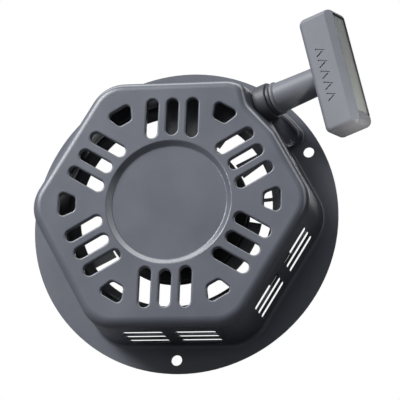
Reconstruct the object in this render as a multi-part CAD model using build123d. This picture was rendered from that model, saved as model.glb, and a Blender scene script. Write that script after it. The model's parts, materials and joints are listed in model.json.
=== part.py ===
from build123d import *
from math import acos, atan2, cos, degrees, hypot, radians, sin, sqrt, tan
import os

# Recoil (pull) starter for a small single-cylinder engine.
#
# Everything is drawn in a working frame: x to the right, y up and w out towards the person who
# pulls the handle, with w = 0 on the face that is bolted to the engine. WORK_PLANE turns that
# into the part's own frame, where +X is right, +Z is up and +Y points into the engine.
WORK_PLANE = Plane.XZ
OUT_DIR = "parts"

# ---- Pressed steel housing -------------------------------------------------------------------
SHEET = 1.4
FLANGE_R = 100.0
BOLT_CIRCLE_R = 91.3
BOLT_HOLE_R = 3.5
BOLT_ANGLES = (29.1, 149.1, 269.1)
DOME_H = 48.0
DOME_APOTHEM = 81.2
DOME_DRAFT = 1.5
DOME_CORNER_R = 24.0
SHOULDER_R = 6.0
FOOT_R = 2.5
SIDE_ANGLES = (30.0, 90.0, 150.0, 210.0, 270.0, 330.0)

RECESS_R = 40.3
RECESS_FLOOR_R = 37.0
RECESS_DEPTH = 2.8
RECESS_EDGE_R = 1.2

SLOT_W = 7.4
SLOT_PITCH = 13.0
SLOT_INNER_R = 44.0
SLOT_OUTER = 67.8
WINDOW_IN = 60.6
WINDOW_OUT = 71.2
WINDOW_IN_HALF = 4.4
WINDOW_OUT_HALF = 8.7
WINDOW_CORNER_R = 2.8
RIM_R = 1.2
RIM_DEPTH = 1.8

WALL_SLOT_LEN = 26.0
WALL_SLOT_H = 7.4
WALL_SLOT_R = 1.6
WALL_SLOT_OFFSET = 17.0
WALL_SLOT_LEVELS = (10.8, 20.2, 29.6)
WALL_SLOT_SIDES = (90.0, 150.0, 210.0, 270.0, 330.0)

# ---- Rope exit: a notch in the dome's upper right corner, and the pull axis --------------------
PULL_ANGLE = 15.2
PULL_TILT = 18.8
GRIP_ROOT = Vector(92.2, 78.6, 41.4)
WALL_S = -42.6
NOTCH_FLOOR = 9.5
NOTCH_EDGE = Vector(56.0, 54.4, 48.0)
NOTCH_ANGLE = 43.3
NOTCH_LEAN = 12.0
NOTCH_ROOT_R = 10.0
NOTCH_TOP_R = 8.0
BOSS_R = 94.5
BOSS_H = 10.3
BOSS_FROM = 34.0
BOSS_TO = 62.0
BOSS_INNER_R = 66.0
BOSS_EDGE_R = 3.0
BOSS_CORNER_R = 7.0
SCOOP_R = 14.5
SCOOP_LEN = 60.0
BOWL_AT = 85.0
BOWL_ANGLE = 42.0
BOWL_W = 12.6
BOWL_R = 6.8
BOWL_LEN = 15.0

# ---- Rope guide, pressed into the exit wall -----------------------------------------------------
GUIDE_NECK_R = 6.0
GUIDE_COLLAR_R = 12.0
GUIDE_NOSE_R = 10.4
GUIDE_LIP_R = 7.2
GUIDE_LIP_LEN = 2.2
GUIDE_COLLAR_END = -33.6
GUIDE_END = -31.3
GUIDE_BORE_R = 2.7
GUIDE_MOUTH_R = 4.2
GUIDE_EXIT_R = 4.2
GUIDE_EDGE_R = 0.9

# ---- Rope ---------------------------------------------------------------------------------------
ROPE_R = 2.0
ROPE_PITCH = 4.1
ROPE_TURNS = 4.35
ROPE_BEND_R = 20.0
ROPE_BEND_S = -45.4
ROPE_W = 21.8

# ---- Rope guard: plate across the dome round the reel, raised where the rope leaves ----------------
GUARD_R = 62.5
GUARD_W = (25.6, 26.8)
GUARD_GAP = 2.6
GUARD_LIP_R = 66.6
GUARD_LIP_W = 29.6
GUARD_BEAD_R = 71.0
GUARD_BEAD_H = 0.8
ROPE_GATE = (56.0, 100.0)
BRIDGE_W = (30.2, 31.4)
BRIDGE_R = 48.0
BRIDGE_WALL = 1.5
GUIDE_CLEARANCE_R = 8.4
FINGER_TIP_R = 47.4
FINGERS = ((5.5, 1.0, 1.0), (31.5, 5.0, 3.6), (211.5, 5.6, 4.4))
SHOE_R = (48.6, 56.5)
SHOE_ANGLES = (312.0, 350.0)
SHOE_RIBS = (325.8, 338.2)
SHOE_RIB_HALF = 1.2
LEG_ANGLES = (150.0, 210.0, 330.0)
LEG_WIDTH = 24.0
LEG_TAB_H = 5.0

# ---- Reel ---------------------------------------------------------------------------------------
REEL_R = 46.5
DRUM_R = 24.0
REEL_BACK_W = 17.0
GROOVE_W = (19.2, 25.0)
FRONT_FLANGE_W = 26.8
CUP_R = 35.0
CUP_WALL = 2.2
CUP_TOP_W = 41.0
HUB_R = 11.0
HUB_TOP_W = 27.6
RUN_FIT = 0.05
KNOT_POCKET_R = 5.2
KNOT_POCKET_AT = 17.0

# ---- Centre post, screw, washer -----------------------------------------------------------------
POST_R = 7.0
POST_BACK_W = 10.0
POST_FLANGE_R = 15.0
POST_FLANGE_T = 2.0
POST_SLOT = 1.6
SCREW_R = 3.0
SCREW_LEN = 16.0
SCREW_HEX = 10.0
SCREW_HEAD_H = 4.0
SCREW_FLANGE_R = 6.8
SCREW_FLANGE_T = 1.2
WASHER_R = 10.5
WASHER_T = 1.4

# ---- Recoil spring ------------------------------------------------------------------------------
SPRING_T = 0.6
SPRING_W = (28.2, 40.0)
SPRING_IN_R = 8.0
SPRING_OUT_R = 31.6
SPRING_TURNS = 9.0
SPRING_POINTS_PER_TURN = 12

# ---- Pawls, their springs and the guide plate ---------------------------------------------------
PAWL_PIN_AT = 19.0
PAWL_PIN_R = 3.0
PAWL_EYE_R = 5.4
PAWL_LEN = 22.0
PAWL_HALF_W = 3.1
PAWL_W = (12.1, 16.9)
PAWL_REST_ANGLE = -98.0
PAWL_SWING = 38.0
PEG_AT = 9.0
PEG_R = 1.7
PLATE_W = (10.3, 11.8)
PLATE_R = 29.0
PLATE_TURN = 30.0
PLATE_SLOT_GAP = 0.35
PAWL_SPRING_R = 4.3
PAWL_SPRING_WIRE_R = 0.35
PAWL_SPRING_POCKET_R = 5.4
PAWL_SPRING_POCKET_D = 1.8
FRICTION_R = 9.0
FRICTION_WIRE_R = 0.6
FRICTION_W = (12.6, 16.2)
FRICTION_TURNS = 2.0

# ---- Handle -------------------------------------------------------------------------------------
GRIP_LEN = 78.2
GRIP_DEPTH = 24.5
GRIP_THICK = 19.9
GRIP_EDGE_R = 3.0
GRIP_CORNER_R = 4.4
GRIP_LEAN = (1.9, 5.2)
STEM_ROOT_R = 8.9
STEM_END_R = 9.7
STEM_LIP_R = 10.7
STEM_LIP_LEN = 1.8
STEM_END_S = -31.0
STEM_BORE_R = 3.0
KNOT_CAVITY = (30.0, 13.0)
KNOT_CAVITY_FROM = 8.0
CAP_LEN = 67.4
CAP_WIDTH = 15.2
CAP_SHIFT = -1.3
CAP_GAP = 0.4
CAP_T = 2.4
CAP_INSET = 0.9
CAP_CORNER_R = 1.2
KNOT_WASHER_R = 5.8
KNOT_WASHER_T = 1.2
KNOT_R = 4.6
MARK_COUNT = 5
MARK_PITCH = 7.6
MARK_SIZE = 5.2
MARK_STROKE = 1.0
MARK_DEPTH = 0.5
MARK_CENTRE = (10.0, 1.6)


def polar(radius, angle, w=0.0):
    return Vector(radius * cos(radians(angle)), radius * sin(radians(angle)), w)


PULL_AXIS = polar(cos(radians(PULL_TILT)), PULL_ANGLE, sin(radians(PULL_TILT)))
GRIP_DOWN = Vector(sin(radians(PULL_ANGLE)), -cos(radians(PULL_ANGLE)), 0)
PULL_PLANE = Plane(origin=GRIP_ROOT, x_dir=GRIP_DOWN, z_dir=PULL_AXIS)


def on_pull_axis(s):
    return GRIP_ROOT + PULL_AXIS * s


def half_space(origin, normal):
    size = 4 * FLANGE_R
    block = Box(size, size, size, align=(Align.CENTER, Align.CENTER, Align.MIN))
    return Plane(origin=origin, z_dir=normal) * block


def disc(radius, w0, w1):
    return Pos(0, 0, w0) * Cylinder(radius, w1 - w0, align=(Align.CENTER, Align.CENTER, Align.MIN))


def revolved(points, plane=Plane.XY):
    """Turn an outline of (radius, height) points about the plane's z axis."""
    face = Plane.XZ * make_face(Polyline(*points, close=True))
    return plane * revolve(face, axis=Axis.Z)


# ---- Housing --------------------------------------------------------------------------------------
def notch(inset):
    """Space cut from the dome's corner: in front of the exit wall and outside the slanted wall."""
    lean = radians(NOTCH_LEAN)
    side_normal = polar(cos(lean), NOTCH_ANGLE, sin(lean))
    exit_side = half_space(on_pull_axis(WALL_S - inset), PULL_AXIS)
    outer_side = half_space(NOTCH_EDGE - side_normal * inset, side_normal)
    wedge = exit_side & outer_side
    ridge_dir = PULL_AXIS.cross(side_normal).normalized()
    ridges = [e for e in wedge.edges() if abs((e % 0.5).dot(ridge_dir)) > 0.999]
    wedge = fillet(min(ridges, key=lambda e: (e.center() - NOTCH_EDGE).length), NOTCH_ROOT_R - inset)
    above_floor = half_space(Vector(0, 0, NOTCH_FLOOR - inset), Vector(0, 0, 1))
    return wedge & above_floor


def boss(inset, base_w):
    """Low swelling on the flange below the rope exit."""
    outer = BOSS_R - inset
    trim = degrees(inset / BOSS_R)
    start = BOSS_FROM + trim
    stop = BOSS_TO - trim
    outline = make_face([
        Line(polar(BOSS_INNER_R, start), polar(outer, start)),
        ThreePointArc(polar(outer, start), polar(outer, (start + stop) / 2), polar(outer, stop)),
        Line(polar(outer, stop), polar(BOSS_INNER_R, stop)),
        Line(polar(BOSS_INNER_R, stop), polar(BOSS_INNER_R, start)),
    ])
    outer_corners = [v for v in outline.vertices() if hypot(v.X, v.Y) > BOSS_INNER_R + 1]
    outline = fillet(outer_corners, BOSS_CORNER_R - inset)
    block = Pos(0, 0, base_w) * extrude(outline, BOSS_H - inset - base_w)
    top = block.faces().sort_by(Axis.Z)[-1]
    return fillet(top.edges(), BOSS_EDGE_R - inset)


def scoop(inset):
    """Round clearance along the pull axis, outside the exit wall."""
    return Plane(origin=on_pull_axis(WALL_S - inset), z_dir=PULL_AXIS) * Cylinder(
        SCOOP_R + inset, SCOOP_LEN, align=(Align.CENTER, Align.CENTER, Align.MIN)
    )


def is_notch_corner(edge, inset):
    """The upright edge where the exit wall meets the dome's top side wall."""
    middle = edge @ 0.5
    on_exit_wall = abs((middle - on_pull_axis(WALL_S - inset)).dot(PULL_AXIS)) < 0.01
    rise = abs((edge @ 1).Z - (edge @ 0).Z)
    return on_exit_wall and rise > DOME_CORNER_R / 2 and middle.Y > 70


def envelope(inset, base_w):
    """Solid shape of the dome, its boss and its rope notch, pulled in by inset."""
    shrink = -base_w * tan(radians(DOME_DRAFT))
    hexagon = RegularPolygon(DOME_APOTHEM - inset + shrink, 6, major_radius=False)
    hexagon = fillet(hexagon.vertices(), DOME_CORNER_R - inset)
    height = DOME_H - inset - base_w
    body = Pos(0, 0, base_w) * extrude(hexagon, height, taper=DOME_DRAFT)
    body -= notch(inset)
    corner = [e for e in body.edges() if is_notch_corner(e, inset)]
    body = fillet(corner, NOTCH_TOP_R - inset)
    top = body.faces().sort_by(Axis.Z)[-1]
    body = fillet(top.edges(), SHOULDER_R - inset) + boss(inset, base_w)
    body -= scoop(inset)
    bowl_middle = Pos(*polar(BOWL_AT, BOWL_ANGLE, BOWL_W)) * Rot(0, 0, BOWL_ANGLE)
    body -= bowl_middle * Rot(90, 0, 0) * Cylinder(BOWL_R + inset, BOWL_LEN)
    for end in (-BOWL_LEN / 2, BOWL_LEN / 2):
        body -= bowl_middle * Pos(0, end, 0) * Sphere(BOWL_R + inset)
    recess = Pos(0, 0, DOME_H - inset) * revolved([
        (0, 1), (RECESS_R + inset, 1), (RECESS_R + inset, 0),
        (RECESS_FLOOR_R + inset, -RECESS_DEPTH), (0, -RECESS_DEPTH),
    ])
    body -= recess
    rings = body.edges().filter_by(GeomType.CIRCLE)
    recess_edges = [e for e in rings if e.length > 6 * RECESS_FLOOR_R and e.center().Z > DOME_H / 2]
    return fillet(recess_edges, RECESS_EDGE_R)


def vent_prisms(grow, bottom_w, top_w):
    """Six groups of three parallel slots and six corner windows, as prisms grown by grow."""
    window = make_face(Polyline(
        (WINDOW_IN, -WINDOW_IN_HALF), (WINDOW_OUT, -WINDOW_OUT_HALF),
        (WINDOW_OUT, WINDOW_OUT_HALF), (WINDOW_IN, WINDOW_IN_HALF), close=True,
    ))
    window = fillet(window.vertices(), WINDOW_CORNER_R)
    if grow > 0:
        window = offset(window, grow)
    prisms = []
    for angle in SIDE_ANGLES:
        for across in (-SLOT_PITCH, 0.0, SLOT_PITCH):
            inner = sqrt(SLOT_INNER_R**2 - across**2)
            outline = SlotOverall(SLOT_OUTER - inner + 2 * grow, SLOT_W + 2 * grow)
            place = Rot(0, 0, angle) * Pos((inner + SLOT_OUTER) / 2, across, bottom_w)
            prisms.append(place * extrude(outline, top_w - bottom_w))
        place = Rot(0, 0, angle + 30) * Pos(0, 0, bottom_w)
        prisms.append(place * extrude(window, top_w - bottom_w))
    return prisms


def wall_slots():
    """Two groups of three level slots through each free side wall, as cutting solids."""
    outline = fillet(Rectangle(WALL_SLOT_LEN, WALL_SLOT_H).vertices(), WALL_SLOT_R)
    cutter = extrude(Plane.YZ * outline, SHEET + 6, both=True)
    cutters = []
    for angle in WALL_SLOT_SIDES:
        for along in (-WALL_SLOT_OFFSET, WALL_SLOT_OFFSET):
            cutters += [Rot(0, 0, angle) * Pos(DOME_APOTHEM, along, w) * cutter for w in WALL_SLOT_LEVELS]
    return cutters


def housing():
    shell = envelope(0, 0) + disc(FLANGE_R, 0, SHEET)
    foot = [
        e for e in shell.edges()
        if abs(e.center().Z - SHEET) < 0.01 and hypot(e.center().X, e.center().Y) < FLANGE_R - 1
    ]
    shell = fillet(foot, FOOT_R)
    shell -= envelope(SHEET, -2)
    shell += vent_prisms(SHEET, DOME_H - SHEET - RIM_DEPTH, DOME_H - SHEET / 2)
    shell -= vent_prisms(0, DOME_H / 2, DOME_H + 1)
    plate = shell.faces().filter_by(Axis.Z).sort_by(Axis.Z)[-1]
    rims = [e for wire in plate.inner_wires() for e in wire.edges()]
    shell = fillet(rims, RIM_R)
    shell -= wall_slots()
    for angle in BOLT_ANGLES:
        shell -= Pos(polar(BOLT_CIRCLE_R, angle)) * Cylinder(BOLT_HOLE_R, 4 * SHEET)
    exit_plane = Plane(origin=on_pull_axis(WALL_S), z_dir=PULL_AXIS)
    return shell - exit_plane * Cylinder(GUIDE_NECK_R + RUN_FIT, 4 * SHEET)


def rope_guide():
    """Bell-mouthed bush: collar outside, neck through the wall, lip trimmed to fit inside."""
    lip_top = WALL_S - SHEET
    lip_bottom = lip_top - GUIDE_LIP_LEN
    outline = [
        (GUIDE_BORE_R, lip_bottom + 6), (GUIDE_MOUTH_R - 0.9, lip_bottom + 1.8),
        (GUIDE_MOUTH_R, lip_bottom), (GUIDE_LIP_R, lip_bottom), (GUIDE_LIP_R, lip_top),
        (GUIDE_NECK_R, lip_top), (GUIDE_NECK_R, WALL_S), (GUIDE_COLLAR_R, WALL_S),
        (GUIDE_COLLAR_R, GUIDE_COLLAR_END), (GUIDE_NOSE_R, GUIDE_COLLAR_END),
        (GUIDE_NOSE_R, GUIDE_END), (GUIDE_EXIT_R, GUIDE_END), (GUIDE_BORE_R, GUIDE_END - 3),
    ]
    bush = revolved(outline)
    rings = bush.edges().filter_by(GeomType.CIRCLE)
    collar_rings = [e for e in rings if e.radius > GUIDE_NOSE_R + 0.1]
    nose_rings = [e for e in rings.filter_by_position(Axis.Z, GUIDE_END - 0.1, GUIDE_END + 0.1)]
    bush = PULL_PLANE * fillet(collar_rings + nose_rings, GUIDE_EDGE_R)
    lip_zone = PULL_PLANE * disc(2 * GUIDE_LIP_R, lip_bottom - 1, lip_top)
    return bush - (lip_zone - envelope(SHEET, 0))


# ---- Rope -------------------------------------------------------------------------------------------
def coil_radius(turns):
    """Radius of the rope's centre line after a number of turns on the drum."""
    return DRUM_R + ROPE_R + ROPE_PITCH * turns


COIL_OUT_R = coil_radius(ROPE_TURNS)
BEND_POINT = on_pull_axis(ROPE_BEND_S)
BEND_REACH = hypot(BEND_POINT.X, BEND_POINT.Y)
BEND_DIRECTION = degrees(atan2(BEND_POINT.Y, BEND_POINT.X))
LEAVE_ANGLE = BEND_DIRECTION + degrees(acos(COIL_OUT_R / BEND_REACH))
LEAVE_POINT = polar(COIL_OUT_R, LEAVE_ANGLE, ROPE_W)
LEAD_DIRECTION = (BEND_POINT - LEAVE_POINT).normalized()
KNOT_ANGLE = LEAVE_ANGLE + 360 * ROPE_TURNS
KNOT_S = KNOT_CAVITY_FROM + KNOT_WASHER_T + KNOT_R


def rope_coil():
    """Rope wound as a flat spiral, from the drum wall out to where it leaves the reel."""
    steps = int(ROPE_TURNS * 12)
    points = []
    for i in range(steps + 1):
        turns = ROPE_TURNS * i / steps
        points.append(polar(coil_radius(turns), KNOT_ANGLE - 360 * turns, ROPE_W))
    path = Spline(*points)
    return sweep(Plane(origin=path @ 0, z_dir=path % 0) * Circle(ROPE_R), path=path)


def rope_lead():
    """Rope from the reel, round the bend in the guide and out along the pull axis to its knot."""
    half_bend = acos(LEAD_DIRECTION.dot(PULL_AXIS)) / 2
    tangent = ROPE_BEND_R * tan(half_bend)
    bend_in = BEND_POINT - LEAD_DIRECTION * tangent
    bend_out = BEND_POINT + PULL_AXIS * tangent
    start = LEAVE_POINT + LEAD_DIRECTION * (2 * ROPE_R)
    bend = TangentArc(bend_in, bend_out, tangent=LEAD_DIRECTION)
    path = Line(start, bend_in) + bend + Line(bend_out, on_pull_axis(KNOT_S - KNOT_R))
    return sweep(Plane(origin=start, z_dir=LEAD_DIRECTION) * Circle(ROPE_R), path=path)


def stopper_knot(radius):
    """Figure-of-eight stopper, simplified to three crossed turns of rope round the cord's axis."""
    turn = Torus(radius - ROPE_R, ROPE_R)
    core = Cylinder(ROPE_R, 2 * radius)
    return core + Rot(28, 0, 0) * turn + Rot(-28, 20, 0) * turn + Rot(0, -28, 0) * turn


def reel_knot():
    knot = stopper_knot(KNOT_R)
    squeezed = Rot(0, 90, 0) * knot & disc(KNOT_R + 2, -3.6, 3.6)
    return Pos(polar(KNOT_POCKET_AT, KNOT_ANGLE, ROPE_W)) * Rot(0, 0, KNOT_ANGLE) * squeezed


def handle_knot():
    return PULL_PLANE * Pos(0, 0, KNOT_S) * stopper_knot(KNOT_R)


# ---- Rope guard -------------------------------------------------------------------------------------
def sector(inner, outer, angles, w_range):
    """Part of a flat ring between two angles."""
    start, stop = angles
    middle = (start + stop) / 2
    face = make_face([
        Line(polar(inner, start), polar(outer, start)),
        ThreePointArc(polar(outer, start), polar(outer, middle), polar(outer, stop)),
        Line(polar(outer, stop), polar(inner, stop)),
        ThreePointArc(polar(inner, stop), polar(inner, middle), polar(inner, start)),
    ])
    return Pos(0, 0, w_range[0]) * extrude(face, w_range[1] - w_range[0])


def guard_finger(angle, tip_half, root_half, tip_r=FINGER_TIP_R):
    """Flat finger from the guard's ring in towards the reel."""
    root_r = GUARD_R + 1
    face = make_face(Polyline(
        (tip_r, -tip_half), (root_r, -root_half), (root_r, root_half), (tip_r, tip_half), close=True,
    ))
    return Rot(0, 0, angle) * Pos(0, 0, GUARD_W[0]) * extrude(face, GUARD_W[1] - GUARD_W[0])


def guard_lip():
    """Flared lip round the guard's ring: level at its inner edge and turned up further out."""
    thickness = GUARD_W[1] - GUARD_W[0]
    return revolved([
        (GUARD_R, GUARD_W[0]), (GUARD_LIP_R + thickness, GUARD_W[0]),
        (GUARD_LIP_R + thickness, GUARD_LIP_W), (GUARD_LIP_R, GUARD_LIP_W), (GUARD_R, GUARD_W[1]),
    ])


def rope_guard():
    """Plate that keeps the cord on the reel: ring, fingers, shoe, bridge over the cord and legs."""
    apothem = DOME_APOTHEM - SHEET - GUARD_GAP
    hexagon = fillet(RegularPolygon(apothem, 6, major_radius=False).vertices(), DOME_CORNER_R - GUARD_GAP)
    bridge_sides = (ROPE_GATE[0] - BRIDGE_WALL, ROPE_GATE[1] + BRIDGE_WALL)
    plate = Pos(0, 0, GUARD_W[0]) * extrude(hexagon, GUARD_W[1] - GUARD_W[0])
    plate -= disc(GUARD_LIP_R, GUARD_W[0] - 1, GUARD_W[1] + 1)
    plate += guard_lip()
    plate += Pos(0, 0, GUARD_W[1]) * Torus(GUARD_BEAD_R, GUARD_BEAD_H)
    plate -= sector(BRIDGE_R, 2 * FLANGE_R, ROPE_GATE, (0, DOME_H))
    bridge = sector(BRIDGE_R, FLANGE_R, bridge_sides, BRIDGE_W)
    step_w = (GUARD_W[0], BRIDGE_W[1])
    bridge += sector(GUARD_R, FLANGE_R, (bridge_sides[0], ROPE_GATE[0]), step_w)
    bridge += sector(GUARD_R, FLANGE_R, (ROPE_GATE[1], bridge_sides[1]), step_w)
    guard = plate + (bridge & extrude(hexagon, DOME_H))
    guard += sector(*SHOE_R, SHOE_ANGLES, GUARD_W)
    guard += [guard_finger(*finger) for finger in FINGERS]
    guard += [guard_finger(angle, SHOE_RIB_HALF, SHOE_RIB_HALF, SHOE_R[1] - 1) for angle in SHOE_RIBS]
    reach = apothem + GUARD_GAP - (GUARD_W[1] + LEG_TAB_H) * tan(radians(DOME_DRAFT))
    leg_box = Box(2 * GUARD_GAP, LEG_WIDTH, GUARD_W[1] - GUARD_W[0])
    leg = Pos(reach - GUARD_GAP, 0, sum(GUARD_W) / 2) * leg_box
    tab = Pos(reach - SHEET / 2, 0, GUARD_W[0] + LEG_TAB_H / 2) * Box(SHEET, LEG_WIDTH, LEG_TAB_H)
    for angle in LEG_ANGLES:
        guard += Rot(0, 0, angle) * (leg + tab)
    guard -= notch(SHEET + GUARD_GAP) + scoop(SHEET + GUARD_GAP / 2)
    clearance = Plane(origin=on_pull_axis(2 * WALL_S), z_dir=PULL_AXIS) * Cylinder(
        GUIDE_CLEARANCE_R, -WALL_S, align=(Align.CENTER, Align.CENTER, Align.MIN)
    )
    return guard - clearance


# ---- Reel -------------------------------------------------------------------------------------------
def pawl_pin_places():
    return [Rot(0, 0, turn) * Pos(PAWL_PIN_AT, 0, 0) for turn in (0, 180)]


def reel():
    body = disc(REEL_R, REEL_BACK_W, GROOVE_W[0]) + disc(DRUM_R, REEL_BACK_W, FRONT_FLANGE_W)
    body += disc(REEL_R, GROOVE_W[1], FRONT_FLANGE_W)
    body += disc(CUP_R, FRONT_FLANGE_W, CUP_TOP_W)
    body -= disc(CUP_R - CUP_WALL, FRONT_FLANGE_W, CUP_TOP_W + 1)
    body += disc(HUB_R, FRONT_FLANGE_W, HUB_TOP_W)
    outer = body.edges().filter_by(GeomType.CIRCLE)
    body = fillet([e for e in outer if e.radius > REEL_R - 0.1], 0.8)
    for place in pawl_pin_places():
        pocket = disc(PAWL_SPRING_POCKET_R, REEL_BACK_W - 1, REEL_BACK_W + PAWL_SPRING_POCKET_D)
        body -= place * pocket
        body += place * disc(PAWL_PIN_R, PAWL_W[0] + 0.1, GROOVE_W[0])
    body -= disc(POST_R + RUN_FIT, REEL_BACK_W - 1, HUB_TOP_W + 1)
    pocket_place = Pos(polar(KNOT_POCKET_AT, KNOT_ANGLE))
    body -= pocket_place * disc(KNOT_POCKET_R, GROOVE_W[0] - 1, FRONT_FLANGE_W + 1)
    tunnel = Rot(0, 90, 0) * Cylinder(ROPE_R + 0.3, 8, align=(Align.CENTER, Align.CENTER, Align.MIN))
    body -= pocket_place * Pos(0, 0, ROPE_W) * Rot(0, 0, KNOT_ANGLE) * tunnel
    anchor = Pos(CUP_R, 0, (SPRING_W[0] + CUP_TOP_W) / 2) * Box(8, 2.6, CUP_TOP_W - SPRING_W[0] + 2)
    body -= Rot(0, 0, SPRING_END_ANGLE) * anchor
    return body


# ---- Recoil spring ----------------------------------------------------------------------------------
SPRING_START_ANGLE = 20.0
SPRING_END_ANGLE = SPRING_START_ANGLE - 360 * SPRING_TURNS


def spring_edge(offset):
    """One long edge of the strip: an open start near the post, packed turns near the cup."""
    count = int(SPRING_TURNS * SPRING_POINTS_PER_TURN)
    points = []
    for i in range(count + 1):
        share = i / count
        radius = SPRING_IN_R + (SPRING_OUT_R - SPRING_IN_R) * share**0.8
        angle = SPRING_START_ANGLE + (SPRING_END_ANGLE - SPRING_START_ANGLE) * share
        points.append(polar(radius + offset, angle))
    return Spline(*points)


def recoil_spring():
    inner = spring_edge(0)
    outer = spring_edge(SPRING_T)
    strip = make_face([inner, Line(inner @ 1, outer @ 1), outer, Line(outer @ 0, inner @ 0)])
    height = SPRING_W[1] - SPRING_W[0]
    ribbon = extrude(strip, height)
    tab_depth = SPRING_IN_R + SPRING_T - 2
    inner_tab = Pos(2 + tab_depth / 2, 0, height / 2) * Box(tab_depth, POST_SLOT - 0.6, height)
    outer_tab = Pos(SPRING_OUT_R + 1.9, 0, height / 2) * Box(3.8, 1.4, height)
    ribbon += Rot(0, 0, SPRING_START_ANGLE) * inner_tab
    ribbon += Rot(0, 0, SPRING_END_ANGLE) * outer_tab
    return Pos(0, 0, SPRING_W[0]) * ribbon


# ---- Centre post, screw and washer -------------------------------------------------------------------
POST_TOP_W = DOME_H - RECESS_DEPTH - SHEET


def center_post():
    post = disc(POST_R, POST_BACK_W, POST_TOP_W)
    post += disc(POST_FLANGE_R, POST_TOP_W - POST_FLANGE_T, POST_TOP_W)
    post -= disc(SCREW_R + RUN_FIT, POST_BACK_W - 1, POST_BACK_W + SCREW_LEN)
    slot_height = POST_TOP_W - SPRING_W[0] + 1
    slot_cut = Pos(5, 0, SPRING_W[0] - 0.4 + slot_height / 2) * Box(10, POST_SLOT, slot_height)
    slot_cut &= disc(POST_FLANGE_R, 0, POST_TOP_W - POST_FLANGE_T)
    return post - Rot(0, 0, SPRING_START_ANGLE) * slot_cut


def screw_washer():
    washer = disc(WASHER_R, POST_BACK_W - WASHER_T, POST_BACK_W)
    washer = fillet(washer.edges(), 0.3)
    return washer - disc(SCREW_R + RUN_FIT, 0, POST_BACK_W + 1)


def center_screw():
    seat_w = POST_BACK_W - WASHER_T
    screw = disc(SCREW_R, seat_w, POST_BACK_W + SCREW_LEN - 2)
    screw += disc(SCREW_FLANGE_R, seat_w - SCREW_FLANGE_T, seat_w)
    hexagon = RegularPolygon(SCREW_HEX / 2, 6, major_radius=False)
    head = Pos(0, 0, seat_w - SCREW_HEAD_H) * extrude(hexagon, SCREW_HEAD_H)
    corner_r = SCREW_HEX / 2 / cos(radians(30))
    rounding = revolved([
        (0, seat_w - SCREW_HEAD_H), (corner_r - 1, seat_w - SCREW_HEAD_H),
        (corner_r + 0.2, seat_w - SCREW_HEAD_H + 0.8), (corner_r + 0.2, seat_w), (0, seat_w),
    ])
    return screw + (head & rounding)


# ---- Pawls and guide plate ---------------------------------------------------------------------------
def peg_place(share):
    """Centre of a pawl's peg, seen from the guide plate, when the plate has turned by share."""
    swing = PAWL_REST_ANGLE + PAWL_SWING * share
    peg = Vector(PAWL_PIN_AT, 0, 0) + polar(PEG_AT, swing)
    return peg.rotate(Axis.Z, -PLATE_TURN * share)


def pawl():
    """Arm on a pin, with a hooked tip and a peg that runs in the guide plate."""
    thickness = PAWL_W[1] - PAWL_W[0]
    arm = make_face(Polyline(
        (0, PAWL_EYE_R - 0.4), (PAWL_LEN * 0.6, PAWL_HALF_W), (PAWL_LEN, PAWL_HALF_W + 0.9),
        (PAWL_LEN - 1.6, -PAWL_HALF_W + 1.6), (PAWL_LEN * 0.6, -PAWL_HALF_W),
        (0, -PAWL_EYE_R + 0.4), close=True,
    ))
    arm = fillet(arm.vertices().sort_by(Axis.X)[-2:], 0.7)
    blade = extrude(arm, thickness) + Cylinder(
        PAWL_EYE_R, thickness, align=(Align.CENTER, Align.CENTER, Align.MIN)
    )
    blade -= Cylinder(PAWL_PIN_R + RUN_FIT, 3 * thickness)
    peg_length = PAWL_W[0] - PLATE_W[0] - 0.2
    blade += Pos(PEG_AT, 0, -peg_length) * Cylinder(
        PEG_R, peg_length + 1, align=(Align.CENTER, Align.CENTER, Align.MIN)
    )
    return Pos(PAWL_PIN_AT, 0, PAWL_W[0]) * Rot(0, 0, PAWL_REST_ANGLE) * blade


def pawl_spring():
    """Torsion spring in the pocket round a pawl's pin."""
    height = PAWL_SPRING_POCKET_D - 2 * PAWL_SPRING_WIRE_R - 0.2
    path = Helix(height / 1.5, height, PAWL_SPRING_R)
    coil = sweep(
        Plane(origin=path @ 0, z_dir=path % 0) * Circle(PAWL_SPRING_WIRE_R), path=path, is_frenet=True
    )
    return Pos(PAWL_PIN_AT, 0, REEL_BACK_W + PAWL_SPRING_WIRE_R + 0.1) * coil


def ratchet_guide():
    """Thin plate with two curved slots that push the pawls' pegs outward."""
    plate = disc(PLATE_R, *PLATE_W) - disc(POST_R + RUN_FIT, 0, POST_TOP_W)
    plate = fillet(plate.edges().filter_by(GeomType.CIRCLE).sort_by(SortBy.RADIUS)[-2:], 0.5)
    width = PEG_R + PLATE_SLOT_GAP
    steps = 12
    for turn in (0, 180):
        for i in range(steps + 1):
            place = Pos(peg_place(i / steps)) * disc(width, 0, POST_BACK_W + 5)
            plate -= Rot(0, 0, turn) * place
    return plate


def friction_spring():
    height = FRICTION_W[1] - FRICTION_W[0]
    path = Helix(height / FRICTION_TURNS, height, FRICTION_R)
    coil = sweep(
        Plane(origin=path @ 0, z_dir=path % 0) * Circle(FRICTION_WIRE_R), path=path, is_frenet=True
    )
    return Pos(0, 0, FRICTION_W[0]) * coil


# ---- Handle ------------------------------------------------------------------------------------------
def grip_mark():
    """One engraved chevron, pointing along the pull."""
    tip = MARK_SIZE / 2
    pen = Polyline((-MARK_SIZE / 2, -tip), (MARK_SIZE / 2, 0), (-MARK_SIZE / 2, tip))
    return extrude(trace(pen, MARK_STROKE), MARK_DEPTH + 1)


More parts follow.
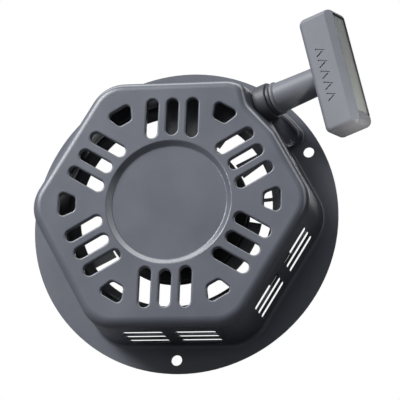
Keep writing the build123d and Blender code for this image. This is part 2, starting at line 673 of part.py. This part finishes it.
def grip_bar():
    """Rounded bar of the grip; its front and back lean in a little towards the cap."""
    bar = Pos(0, 0, GRIP_DEPTH / 2) * Box(GRIP_LEN, GRIP_THICK, GRIP_DEPTH)
    bar = fillet(bar.edges().filter_by(Axis.Y), GRIP_CORNER_R)
    bar = fillet(bar.edges(), GRIP_EDGE_R)
    lean_in, lean_from = GRIP_LEAN
    for side in (-1, 1):
        foot = Vector(0, side * GRIP_THICK / 2, GRIP_DEPTH - lean_from)
        bar -= half_space(foot, Vector(0, side * lean_from, lean_in))
    return bar


def handle_grip():
    """T grip: rounded bar with a hollow for the knot, and the stem towards the rope guide."""
    stem = revolved([
        (0, STEM_END_S), (STEM_LIP_R, STEM_END_S), (STEM_LIP_R, STEM_END_S + STEM_LIP_LEN),
        (STEM_END_R, STEM_END_S + STEM_LIP_LEN + 1), (STEM_ROOT_R, 1), (0, 1),
    ])
    lip = [e for e in stem.edges().filter_by(GeomType.CIRCLE) if e.radius > STEM_LIP_R - 0.1]
    body = grip_bar() + fillet(lip, 0.8)
    body -= disc(STEM_BORE_R, STEM_END_S - 1, KNOT_CAVITY_FROM + 1)
    cavity = Box(*KNOT_CAVITY, GRIP_DEPTH, align=(Align.CENTER, Align.CENTER, Align.MIN))
    body -= Pos(0, 0, KNOT_CAVITY_FROM) * cavity
    body -= Pos(0, 0, GRIP_DEPTH - CAP_T - CAP_INSET) * cap_block(CAP_GAP, CAP_T + 1)
    front = Pos(0, -GRIP_THICK / 2 + MARK_DEPTH, MARK_CENTRE[0]) * Rot(90, 0, 0) * Rot(0, 0, 90)
    for i in range(MARK_COUNT):
        along = MARK_CENTRE[1] + (i - (MARK_COUNT - 1) / 2) * MARK_PITCH
        body -= Pos(along, 0, 0) * front * grip_mark()
    return PULL_PLANE * body


def cap_block(gap, thickness):
    outline = Rectangle(CAP_LEN + 2 * gap, CAP_WIDTH + 2 * gap)
    outline = fillet(outline.vertices(), CAP_CORNER_R + gap)
    return Pos(CAP_SHIFT, 0, 0) * extrude(outline, thickness)


def handle_cap():
    cap = cap_block(0, CAP_T)
    cap = fillet(cap.faces().sort_by(Axis.Z)[-1].edges(), 0.4)
    return PULL_PLANE * Pos(0, 0, GRIP_DEPTH - CAP_T - CAP_INSET) * cap


def knot_washer():
    washer = disc(KNOT_WASHER_R, 0, KNOT_WASHER_T) - disc(ROPE_R + 0.3, -1, KNOT_WASHER_T + 1)
    return PULL_PLANE * Pos(0, 0, KNOT_CAVITY_FROM) * washer


def main():
    os.makedirs(OUT_DIR, exist_ok=True)
    opposite = Rot(0, 0, 180)
    parts = {
        "housing": housing(),
        "rope_guide": rope_guide(),
        "rope_guard": rope_guard(),
        "center_post": center_post(),
        "center_screw": center_screw(),
        "screw_washer": screw_washer(),
        "recoil_spring": recoil_spring(),
        "reel": reel(),
        "rope_coil": rope_coil(),
        "reel_knot": reel_knot(),
        "pawl_1": pawl(),
        "pawl_2": opposite * pawl(),
        "pawl_spring_1": pawl_spring(),
        "pawl_spring_2": opposite * pawl_spring(),
        "ratchet_guide": ratchet_guide(),
        "friction_spring": friction_spring(),
        "handle_grip": handle_grip(),
        "handle_cap": handle_cap(),
        "knot_washer": knot_washer(),
        "rope_lead": rope_lead(),
        "handle_knot": handle_knot(),
    }
    for name, shape in parts.items():
        export_step(WORK_PLANE * shape, f"{OUT_DIR}/{name}.step")


main()
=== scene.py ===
import json
import math

import bmesh
import bpy
from mathutils import Matrix, Vector

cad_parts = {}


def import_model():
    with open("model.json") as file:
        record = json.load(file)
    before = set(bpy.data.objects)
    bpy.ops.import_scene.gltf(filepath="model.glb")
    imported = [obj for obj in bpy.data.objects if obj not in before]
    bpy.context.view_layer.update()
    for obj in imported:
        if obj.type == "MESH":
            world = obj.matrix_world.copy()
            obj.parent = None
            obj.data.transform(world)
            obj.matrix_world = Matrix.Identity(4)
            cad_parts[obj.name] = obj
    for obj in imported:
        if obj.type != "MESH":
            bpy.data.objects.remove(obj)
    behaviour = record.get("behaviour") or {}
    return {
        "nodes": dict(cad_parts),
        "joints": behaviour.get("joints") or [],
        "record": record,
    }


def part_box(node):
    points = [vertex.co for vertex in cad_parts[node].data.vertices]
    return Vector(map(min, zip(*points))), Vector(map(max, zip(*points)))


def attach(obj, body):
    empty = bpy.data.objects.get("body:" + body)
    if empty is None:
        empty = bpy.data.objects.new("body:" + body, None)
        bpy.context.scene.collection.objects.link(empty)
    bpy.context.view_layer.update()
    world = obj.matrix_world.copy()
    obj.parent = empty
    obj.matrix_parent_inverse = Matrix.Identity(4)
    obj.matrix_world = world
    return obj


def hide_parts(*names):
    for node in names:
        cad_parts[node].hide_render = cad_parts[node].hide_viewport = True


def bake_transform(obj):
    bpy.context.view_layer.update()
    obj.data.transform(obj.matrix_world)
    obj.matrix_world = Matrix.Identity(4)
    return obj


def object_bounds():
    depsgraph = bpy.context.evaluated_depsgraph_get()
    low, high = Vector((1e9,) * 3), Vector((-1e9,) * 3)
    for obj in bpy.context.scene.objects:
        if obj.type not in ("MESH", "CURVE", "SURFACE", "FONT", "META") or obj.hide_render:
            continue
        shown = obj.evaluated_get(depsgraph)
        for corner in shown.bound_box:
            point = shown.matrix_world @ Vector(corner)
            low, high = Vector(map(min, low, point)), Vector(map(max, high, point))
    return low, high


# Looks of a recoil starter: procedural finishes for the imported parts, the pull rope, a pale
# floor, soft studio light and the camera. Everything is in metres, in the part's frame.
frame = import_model()
CAD_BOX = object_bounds()
RECORD = frame["record"]
NODES = frame["nodes"]
JOINTS = {joint["name"]: joint for joint in frame["joints"]}

MM = 0.001
PULL_AXIS = Vector(JOINTS["handle_pull"]["axis"]).normalized()

# Camera: a long lens low on the right, rolled a little.
CAMERA_AT = Vector((0.3569, -1.4955, -0.4318))
CAMERA_RIGHT = Vector((0.9758, 0.2154, 0.0384))
CAMERA_UP = Vector((0.0242, -0.2808, 0.9595))
SENSOR_MM = 36.0
LENS_MM = 223.3
CLIP_END = 100.0

# Soft light from all round: the side it is brightest on, how it falls off away from that side
# (as cosines), its weakest and strongest, and its colour.
SKY_FROM = Vector((-0.45, -0.35, 0.82))
SKY_FALLOFF = (-0.5, 0.9)
SKY_DIM = 0.012
SKY_BRIGHT = 0.50
SKY_COLOUR = (0.90, 0.95, 1.0, 1.0)

# Floor: a large square, which fades into the white backdrop between two distances from the part.
FLOOR_HALF = 8.0
FLOOR_FADE = (0.5, 2.0)

# Softboxes aimed at the part's middle: place, size, power and colour.
SOFTBOXES = {
    "key": ((-1.6, -1.6, 1.6), (1.2, 1.2), 114, (0.96, 0.98, 1.0)),
    "front": ((-0.4, -2.6, 0.2), (2.2, 1.6), 1.5, (0.93, 0.96, 1.0)),
    "top": ((0.3, -0.3, 2.2), (2.0, 1.0), 13, (1.0, 1.0, 1.0)),
    "back": ((0.9, 2.0, 1.2), (1.6, 1.2), 12, (1.0, 1.0, 1.0)),
}

# Small warm light on the grip's lower end: its place from the point it is aimed at, how far that
# point lies outside the grip's box, and its size, power, colour and narrow beam.
UNDER_GRIP_AT = Vector((0.10, -0.06, -0.13))
UNDER_GRIP_AIM = Vector((0.005, 0, -0.005))
UNDER_GRIP_SIZE = (0.02, 0.02)
UNDER_GRIP_POWER = 0.0055
UNDER_GRIP_COLOUR = (1.0, 0.96, 0.88)
UNDER_GRIP_BEAM = math.radians(15)

# Rope: its radius, how far its drawn end hides inside the guide, its mesh, and its braid.
ROPE_R = 2.0 * MM
ROPE_HIDDEN = 3.0 * MM
ROPE_RINGS = 96
ROPE_SIDES = 20
BRAID_STRANDS = 8
BRAID_PITCH = 2.6 * MM
BRAID_WIDTH = 1.5 * MM
END_BAND = 0.05 * MM


# ---- Node helpers ---------------------------------------------------------------------------
class Shader:
    """A material under construction: short calls for the nodes that the finishes share."""

    def __init__(self, name):
        self.material = bpy.data.materials.new(name)
        self.material.use_nodes = True
        self.tree = self.material.node_tree
        self.bsdf = self.tree.nodes["Principled BSDF"]
        self.coords = self.add("ShaderNodeTexCoord").outputs["Object"]

    def add(self, kind, **settings):
        node = self.tree.nodes.new(kind)
        for key, value in settings.items():
            setattr(node, key, value)
        return node

    def link(self, source, target):
        self.tree.links.new(source, target)

    def put(self, node, socket, value):
        """Set an input to a number or colour, or link it to another node's output."""
        if isinstance(value, bpy.types.NodeSocket):
            self.link(value, node.inputs[socket])
        else:
            node.inputs[socket].default_value = value

    def surface(self, **values):
        """Set inputs of the main shader, named in lower case with underscores."""
        for key, value in values.items():
            self.put(self.bsdf, key.replace("_", " ").title(), value)

    def noise(self, size_mm, detail, roughness=0.5):
        node = self.add("ShaderNodeTexNoise")
        self.link(self.coords, node.inputs["Vector"])
        node.inputs["Scale"].default_value = 1.0 / (size_mm * MM)
        node.inputs["Detail"].default_value = detail
        node.inputs["Roughness"].default_value = roughness
        return node.outputs["Fac"]

    def cells(self, size_mm):
        node = self.add("ShaderNodeTexVoronoi")
        self.link(self.coords, node.inputs["Vector"])
        node.inputs["Scale"].default_value = 1.0 / (size_mm * MM)
        return node.outputs["Distance"]

    def math(self, operation, a, b=0.0):
        node = self.add("ShaderNodeMath", operation=operation)
        for index, value in enumerate((a, b)):
            self.put(node, index, value)
        return node.outputs[0]

    def ramp(self, value, low, high, to_low=0.0, to_high=1.0):
        node = self.add("ShaderNodeMapRange")
        for index, number in enumerate((value, low, high, to_low, to_high)):
            self.put(node, index, number)
        return node.outputs[0]

    def mix(self, share, a, b):
        node = self.add("ShaderNodeMix", data_type="RGBA")
        self.put(node, 0, share)
        self.put(node, 6, a)
        self.put(node, 7, b)
        return node.outputs[2]

    def edges(self, radius_mm):
        """1 along sharp edges and 0 on flat faces, from how far a bevelled normal turns."""
        bevel = self.add("ShaderNodeBevel", samples=4)
        bevel.inputs["Radius"].default_value = radius_mm * MM
        normal = self.add("ShaderNodeNewGeometry").outputs["Normal"]
        dot = self.add("ShaderNodeVectorMath", operation="DOT_PRODUCT")
        self.link(bevel.outputs[0], dot.inputs[0])
        self.link(normal, dot.inputs[1])
        return self.ramp(self.math("SUBTRACT", 1.0, dot.outputs["Value"]), 0.02, 0.25)

    def bump(self, *layers):
        """Stack height layers, each (height output, depth in mm), into the surface normal."""
        normal = None
        for height, depth_mm in layers:
            node = self.add("ShaderNodeBump")
            node.inputs["Strength"].default_value = 1.0
            node.inputs["Distance"].default_value = depth_mm * MM
            self.link(height, node.inputs["Height"])
            if normal is not None:
                self.link(normal, node.inputs["Normal"])
            normal = node.outputs["Normal"]
        self.link(normal, self.bsdf.inputs["Normal"])


def rgb(r, g, b):
    return (r, g, b, 1.0)


def ring_coordinate(shader):
    """Distance from the reel axis, for turned and rolled finishes."""
    parts = shader.add("ShaderNodeSeparateXYZ")
    shader.link(shader.coords, parts.inputs[0])
    across = shader.math("MULTIPLY", parts.outputs["X"], parts.outputs["X"])
    up = shader.math("MULTIPLY", parts.outputs["Z"], parts.outputs["Z"])
    return shader.math("SQRT", shader.math("ADD", across, up))


# ---- Finishes -------------------------------------------------------------------------------
def facing(shader, direction):
    """How far the surface faces a direction, from -1 to 1."""
    normal = shader.add("ShaderNodeNewGeometry").outputs["Normal"]
    dot = shader.add("ShaderNodeVectorMath", operation="DOT_PRODUCT")
    shader.link(normal, dot.inputs[0])
    dot.inputs[1].default_value = direction
    return dot.outputs["Value"]


def painted_shoulder_highlight(shader):
    """1 along the middle of a rounded shoulder that faces up or right, where a highlight is
    painted.
    """
    front = facing(shader, (0, -1, 0))
    outer_side = shader.ramp(front, 0.64, 0.72)
    inner_side = shader.ramp(front, 0.88, 0.82)
    band = shader.math("MULTIPLY", outer_side, inner_side)
    side = shader.ramp(facing(shader, (0.55, 0, 0.85)), 0.0, 0.30)
    return shader.math("MULTIPLY", band, side)


def powder_coat():
    """Satin charcoal coat on pressed sheet: fine orange peel, faint cloudiness, sharp edges
    lighter from wear and a painted highlight, and a painted highlight along the shoulders.
    """
    s = Shader("housing_steel")
    cloud = s.noise(34, 4, 0.55)
    speck = s.noise(0.5, 2)
    # Lighter in patches along sharp edges: partly paint wear, partly a painted highlight on the
    # rims.
    worn_and_highlit = s.math("MULTIPLY", s.edges(0.7), s.ramp(s.noise(5, 5, 0.65), 0.30, 0.60))
    coat = s.mix(s.ramp(cloud, 0.3, 0.7), rgb(0.076, 0.081, 0.101), rgb(0.091, 0.096, 0.116))
    coat = s.mix(s.math("MULTIPLY", s.ramp(speck, 0.55, 0.8), 0.25), coat, rgb(0.12, 0.125, 0.135))
    coat = s.mix(s.math("MULTIPLY", worn_and_highlit, 0.55), coat, rgb(0.24, 0.24, 0.25))
    # Lighter, slightly glossier band along the shoulders that face up or right: a painted
    # highlight.
    shoulder_highlight = painted_shoulder_highlight(s)
    coat = s.mix(s.math("MULTIPLY", shoulder_highlight, 0.75), coat, rgb(0.36, 0.37, 0.38))
    sheen = s.ramp(s.noise(1.6, 2), 0.3, 0.7, -0.02, 0.03)
    rough = s.math("ADD", s.ramp(cloud, 0.3, 0.7, 0.34, 0.42), sheen)
    rough = s.math("SUBTRACT", rough, s.math("MULTIPLY", shoulder_highlight, 0.12))
    s.surface(base_color=coat, roughness=rough)
    s.put(s.bsdf, "Specular IOR Level", 0.55)
    s.bump((s.noise(0.9, 2), 0.020), (s.noise(14, 2), 0.05))
    return s.material


def moulded(name, dark, light, roughness, grain_mm, grain_depth_mm, edge_light=0.35):
    """Fine grain, a little cloudiness and rubbed edges: moulded plastic or thin painted sheet."""
    s = Shader(name)
    cloud = s.noise(16, 4, 0.6)
    colour = s.mix(s.ramp(cloud, 0.3, 0.7), dark, light)
    rub = s.math("MULTIPLY", s.edges(0.8), s.ramp(s.noise(4, 4, 0.6), 0.4, 0.7))
    brighter = rgb(*[min(1.0, c * 1.9) for c in light[:3]])
    colour = s.mix(s.math("MULTIPLY", rub, edge_light), colour, brighter)
    rough = s.math("ADD", s.ramp(cloud, 0.3, 0.7, roughness - 0.03, roughness + 0.04),
                   s.math("MULTIPLY", rub, -0.08))
    s.surface(base_color=colour, roughness=rough)
    s.bump((s.cells(grain_mm), grain_depth_mm), (s.noise(grain_mm * 3, 3), grain_depth_mm * 1.5))
    return s.material


def turned_metal(name, dark, light, roughness, ring_mm, ring_depth_mm, stain=None):
    """Metal with fine turning rings round the reel axis, an uneven sheen and perhaps a stain."""
    s = Shader(name)
    radius = ring_coordinate(s)
    rings = s.math("SINE", s.math("MULTIPLY", radius, 2 * math.pi / (ring_mm * MM)))
    cloud = s.noise(7, 5, 0.6)
    colour = s.mix(s.ramp(cloud, 0.3, 0.7), dark, light)
    if stain is not None:
        colour = s.mix(s.ramp(s.noise(11, 6, 0.7), 0.52, 0.75, 0.0, 0.7), colour, stain)
    rough = s.ramp(s.noise(2.5, 4), 0.3, 0.7, roughness - 0.06, roughness + 0.08)
    s.surface(base_color=colour, roughness=rough, metallic=1.0)
    s.bump((rings, ring_depth_mm), (s.noise(1.2, 3), 0.006))
    return s.material


def sintered_metal(name):
    """Porous pressed-powder steel, oil dark in its pores."""
    s = Shader(name)
    pores = s.ramp(s.noise(0.35, 3, 0.6), 0.35, 0.6)
    colour = s.mix(pores, rgb(0.10, 0.095, 0.09), rgb(0.36, 0.35, 0.33))
    s.surface(base_color=colour, roughness=s.ramp(pores, 0.0, 1.0, 0.55, 0.35), metallic=0.9)
    s.bump((s.noise(0.35, 3, 0.6), 0.03), (s.noise(3, 2), 0.02))
    return s.material


def braid(s, around, along):
    """White braided cord from two sets of crossing strands; around and along are node outputs."""
    plus = s.math("ADD", around, along)
    minus = s.math("SUBTRACT", around, along)
    strand_a = s.math("PINGPONG", plus, 0.5)
    strand_b = s.math("PINGPONG", minus, 0.5)
    weave = s.math("MULTIPLY", s.math("MAXIMUM", strand_a, strand_b), 2.0)
    fibre = s.noise(0.25, 3, 0.6)
    # Darker between the strands: painted shade in the grooves of the braid.
    colour = s.mix(s.ramp(weave, 0.35, 0.95), rgb(0.40, 0.39, 0.36), rgb(0.86, 0.85, 0.81))
    colour = s.mix(s.ramp(s.noise(20, 4), 0.5, 0.8, 0.0, 0.35), colour, rgb(0.55, 0.52, 0.46))
    s.surface(base_color=colour, roughness=0.8)
    s.put(s.bsdf, "Sheen Weight", 0.25)
    s.bump((weave, 0.28), (fibre, 0.05))
    return s.material


def straight_braid(name, origin, direction):
    """Braid on a straight run of cord: around is the angle about direction, along the distance."""
    s = Shader(name)
    turn = direction.to_track_quat("Z", "Y").inverted()
    mapping = s.add("ShaderNodeVectorRotate", rotation_type="EULER_XYZ")
    mapping.inputs["Rotation"].default_value = turn.to_euler("XYZ")
    local_origin = s.add("ShaderNodeVectorMath", operation="SUBTRACT")
    s.link(s.coords, local_origin.inputs[0])
    local_origin.inputs[1].default_value = origin
    s.link(local_origin.outputs[0], mapping.inputs["Vector"])
    parts = s.add("ShaderNodeSeparateXYZ")
    s.link(mapping.outputs[0], parts.inputs[0])
    angle = s.math("ARCTAN2", parts.outputs["Y"], parts.outputs["X"])
    around = s.math("MULTIPLY", angle, BRAID_STRANDS / (2 * math.pi))
    along = s.math("MULTIPLY", parts.outputs["Z"], 1 / BRAID_PITCH)
    return braid(s, around, along)


def coiled_braid(name):
    """Braid on the wound cord: along is the arc about the reel axis, around the depth in it."""
    s = Shader(name)
    parts = s.add("ShaderNodeSeparateXYZ")
    s.link(s.coords, parts.inputs[0])
    radius = ring_coordinate(s)
    angle = s.math("ARCTAN2", parts.outputs["Z"], parts.outputs["X"])
    along = s.math("MULTIPLY", s.math("MULTIPLY", angle, radius), 1 / BRAID_PITCH)
    depth = s.math("ADD", parts.outputs["Y"], radius)
    around = s.math("MULTIPLY", depth, 1 / BRAID_WIDTH)
    return braid(s, around, along)


# Plastics and painted sheet: dark and light base colour, roughness, grain size and depth in mm,
# and for the guard how bright its rubbed edges are.
MOULDED = {
    "grip_plastic": (rgb(0.116, 0.119, 0.137), rgb(0.136, 0.141, 0.160), 0.54, 0.35, 0.012),
    "cap_plastic": (rgb(0.21, 0.222, 0.208), rgb(0.24, 0.252, 0.236), 0.46, 0.3, 0.006),
    "guard_steel": (rgb(0.055, 0.057, 0.062), rgb(0.080, 0.082, 0.088), 0.36, 0.9, 0.02, 0.9),
    "black_plastic": (rgb(0.040, 0.042, 0.050), rgb(0.052, 0.054, 0.063), 0.50, 0.4, 0.010),
    "reel_nylon": (rgb(0.022, 0.022, 0.024), rgb(0.035, 0.035, 0.037), 0.5, 0.45, 0.02),
}

# Turned metals: dark and light base colour, roughness, ring spacing and depth in mm, and for the
# plated guide the colour of its stain.
TURNED = {
    "bare_steel": (rgb(0.36, 0.36, 0.35), rgb(0.50, 0.50, 0.49), 0.32, 0.3, 0.006),
    "zinc_screw": (rgb(0.50, 0.51, 0.52), rgb(0.66, 0.66, 0.66), 0.30, 0.5, 0.004),
    "spring_steel": (rgb(0.10, 0.11, 0.15), rgb(0.22, 0.22, 0.24), 0.33, 0.8, 0.004),
    "guide_steel": (
        rgb(0.46, 0.40, 0.20), rgb(0.62, 0.55, 0.34), 0.34, 0.7, 0.006, rgb(0.50, 0.36, 0.40)),
}

FINISHES = {
    "housing_steel": powder_coat(),
    "pawl_steel": sintered_metal("pawl_steel"),
    "rope_braid": coiled_braid("rope_braid"),
}
FINISHES.update({name: moulded(name, *look) for name, look in MOULDED.items()})
FINISHES.update({name: turned_metal(name, *look) for name, look in TURNED.items()})


def dress_nodes():
    """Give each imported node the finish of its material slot."""
    slots = {row["node"]: row["material_slot"] for row in RECORD["subparts"]}
    for name, node in NODES.items():
        node.data.materials.clear()
        node.data.materials.append(FINISHES[slots[name]])


dress_nodes()


# ---- Rope -----------------------------------------------------------------------------------
def reach(node, direction):
    return max(vertex.co.dot(direction) for vertex in NODES[node].data.vertices)


def far_point(node, direction):
    """Middle of the vertices that lie farthest along a direction."""
    limit = reach(node, direction) - END_BAND
    far = [v.co for v in NODES[node].data.vertices if v.co.dot(direction) > limit]
    return sum(far, Vector()) / len(far)


KNOT_END = far_point("rope_lead", PULL_AXIS)
GUIDE_TO_KNOT = KNOT_END.dot(PULL_AXIS) - reach("rope_guide", PULL_AXIS)
ROPE_FROM = KNOT_END - PULL_AXIS * (GUIDE_TO_KNOT + ROPE_HIDDEN)
REEL_END = far_point("rope_lead", -PULL_AXIS)
LEAD_DIRECTION = (ROPE_FROM - REEL_END).normalized()


def new_piece(name, bm, material):
    """Turn a bmesh into a smooth object with one finish."""
    mesh = bpy.data.meshes.new(name)
    bm.to_mesh(mesh)
    bm.free()
    mesh.polygons.foreach_set("use_smooth", [True] * len(mesh.polygons))
    mesh.materials.append(material)
    piece = bpy.data.objects.new(name, mesh)
    bpy.context.scene.collection.objects.link(piece)
    return piece


def pulled_rope(material):
    """Cord from the guide to the handle's knot."""
    side = PULL_AXIS.orthogonal().normalized()
    other = PULL_AXIS.cross(side)
    bm = bmesh.new()
    turns = [2 * math.pi * k / ROPE_SIDES for k in range(ROPE_SIDES)]
    spokes = [ROPE_R * (side * math.cos(a) + other * math.sin(a)) for a in turns]
    rings = []
    for i in range(ROPE_RINGS + 1):
        centre = ROPE_FROM.lerp(KNOT_END, i / ROPE_RINGS)
        rings.append([bm.verts.new(centre + spoke) for spoke in spokes])
    for low, high in zip(rings, rings[1:]):
        for k in range(ROPE_SIDES):
            after = (k + 1) % ROPE_SIDES
            bm.faces.new((low[k], low[after], high[after], high[k]))
    bm.faces.new(list(reversed(rings[0])))
    bm.faces.new(rings[-1])
    piece = new_piece("rope_pull", bm, material)
    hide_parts("rope_lead")
    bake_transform(piece)


def inner_rope(material):
    """Cord from the reel up to the guide, which stays in place at every pull."""
    bm = bmesh.new()
    bm.from_mesh(NODES["rope_lead"].data)
    bmesh.ops.bisect_plane(
        bm, geom=bm.verts[:] + bm.edges[:] + bm.faces[:],
        plane_co=ROPE_FROM, plane_no=PULL_AXIS, clear_outer=True)
    bmesh.ops.holes_fill(bm, edges=[edge for edge in bm.edges if edge.is_boundary], sides=0)
    piece = new_piece("rope_in", bm, material)
    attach(piece, "housing")


pulled_rope(straight_braid("rope_pull_braid", KNOT_END, PULL_AXIS))
inner_rope(straight_braid("rope_in_braid", REEL_END, LEAD_DIRECTION))


# ---- Floor, light and camera ------------------------------------------------------------------
def blend_shaders(shader, share, first, second):
    """Mix two shader outputs: the first where share is 0, the second where it is 1."""
    node = shader.add("ShaderNodeMixShader")
    shader.link(share, node.inputs[0])
    shader.link(first, node.inputs[1])
    shader.link(second, node.inputs[2])
    return node.outputs[0]


def floor():
    """Large pale floor under the part; from below, the camera looks through it.

    It is pale for the camera and darker for other rays, so little light bounces up onto the part.
    """
    low = CAD_BOX[0].z
    mesh = bpy.data.meshes.new("floor")
    signs = ((-1, -1), (1, -1), (1, 1), (-1, 1))
    corners = [(x * FLOOR_HALF, y * FLOOR_HALF, low) for x, y in signs]
    mesh.from_pydata(corners, [], [(0, 1, 2, 3)])
    plane = bpy.data.objects.new("floor", mesh)
    bpy.context.scene.collection.objects.link(plane)
    s = Shader("floor")
    pale = s.mix(s.noise(400, 3), rgb(0.80, 0.80, 0.80), rgb(0.84, 0.84, 0.84))
    looked_at = s.add("ShaderNodeLightPath").outputs["Is Camera Ray"]
    s.surface(base_color=s.mix(looked_at, rgb(0.12, 0.12, 0.12), pale), roughness=0.75)
    distance = s.add("ShaderNodeVectorMath", operation="LENGTH")
    s.link(s.coords, distance.inputs[0])
    far = s.math("MULTIPLY", s.ramp(distance.outputs["Value"], *FLOOR_FADE), looked_at)
    white = s.add("ShaderNodeEmission").outputs[0]
    faded = blend_shaders(s, far, s.bsdf.outputs[0], white)
    behind = s.add("ShaderNodeNewGeometry").outputs["Backfacing"]
    clear = s.add("ShaderNodeBsdfTransparent").outputs[0]
    finished = blend_shaders(s, s.math("MULTIPLY", looked_at, behind), faded, clear)
    s.link(finished, s.tree.nodes["Material Output"].inputs["Surface"])
    mesh.materials.append(s.material)


def world():
    """White backdrop for the camera; for other rays, soft light that fades to the lower right."""
    scene_world = bpy.data.worlds.new("studio")
    bpy.context.scene.world = scene_world
    scene_world.use_nodes = True
    tree = scene_world.node_tree
    tree.nodes.clear()
    output = tree.nodes.new("ShaderNodeOutputWorld")
    choose = tree.nodes.new("ShaderNodeMixShader")
    path = tree.nodes.new("ShaderNodeLightPath")
    white = tree.nodes.new("ShaderNodeBackground")
    white.inputs["Color"].default_value = rgb(1, 1, 1)
    ray = tree.nodes.new("ShaderNodeTexCoord")
    toward = tree.nodes.new("ShaderNodeVectorMath")
    toward.operation = "DOT_PRODUCT"
    toward.inputs[1].default_value = SKY_FROM.normalized()
    fade = tree.nodes.new("ShaderNodeMapRange")
    fade.interpolation_type = "SMOOTHSTEP"
    fade.inputs["From Min"].default_value = SKY_FALLOFF[0]
    fade.inputs["From Max"].default_value = SKY_FALLOFF[1]
    fade.inputs["To Min"].default_value = SKY_DIM
    fade.inputs["To Max"].default_value = SKY_BRIGHT
    soft = tree.nodes.new("ShaderNodeBackground")
    soft.inputs["Color"].default_value = SKY_COLOUR
    tree.links.new(ray.outputs["Generated"], toward.inputs[0])
    tree.links.new(toward.outputs["Value"], fade.inputs["Value"])
    tree.links.new(fade.outputs["Result"], soft.inputs["Strength"])
    tree.links.new(path.outputs["Is Camera Ray"], choose.inputs[0])
    tree.links.new(soft.outputs[0], choose.inputs[1])
    tree.links.new(white.outputs[0], choose.inputs[2])
    tree.links.new(choose.outputs[0], output.inputs["Surface"])


def softbox(name, location, target, size, power, colour):
    """Rectangular light aimed at a point, which the camera doesn't see."""
    data = bpy.data.lights.new(name, "AREA")
    data.shape = "RECTANGLE"
    data.size, data.size_y = size
    data.energy = power
    data.color = colour
    light = bpy.data.objects.new(name, data)
    bpy.context.scene.collection.objects.link(light)
    light.location = location
    aim = Vector(target) - Vector(location)
    light.rotation_euler = aim.to_track_quat("-Z", "Y").to_euler()
    light.visible_camera = False
    return data


def lights():
    low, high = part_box("handle_grip")
    grip_end = Vector((high.x, low.y, low.z)) + UNDER_GRIP_AIM
    under_grip = softbox(
        "under_grip", grip_end + UNDER_GRIP_AT, grip_end,
        UNDER_GRIP_SIZE, UNDER_GRIP_POWER, UNDER_GRIP_COLOUR)
    under_grip.spread = UNDER_GRIP_BEAM
    for name, (place, size, power, colour) in SOFTBOXES.items():
        softbox(name, place, (0, 0, 0), size, power, colour)


def camera():
    data = bpy.data.cameras.new("camera")
    data.sensor_width = SENSOR_MM
    data.lens = LENS_MM
    data.clip_end = CLIP_END
    eye = bpy.data.objects.new("camera", data)
    bpy.context.scene.collection.objects.link(eye)
    back = CAMERA_RIGHT.cross(CAMERA_UP)
    turn = Matrix((CAMERA_RIGHT, CAMERA_UP, back)).transposed().to_4x4()
    eye.matrix_world = Matrix.Translation(CAMERA_AT) @ turn
    bpy.context.scene.camera = eye


floor()
world()
lights()
camera()
bpy.context.scene.view_settings.view_transform = "Standard"
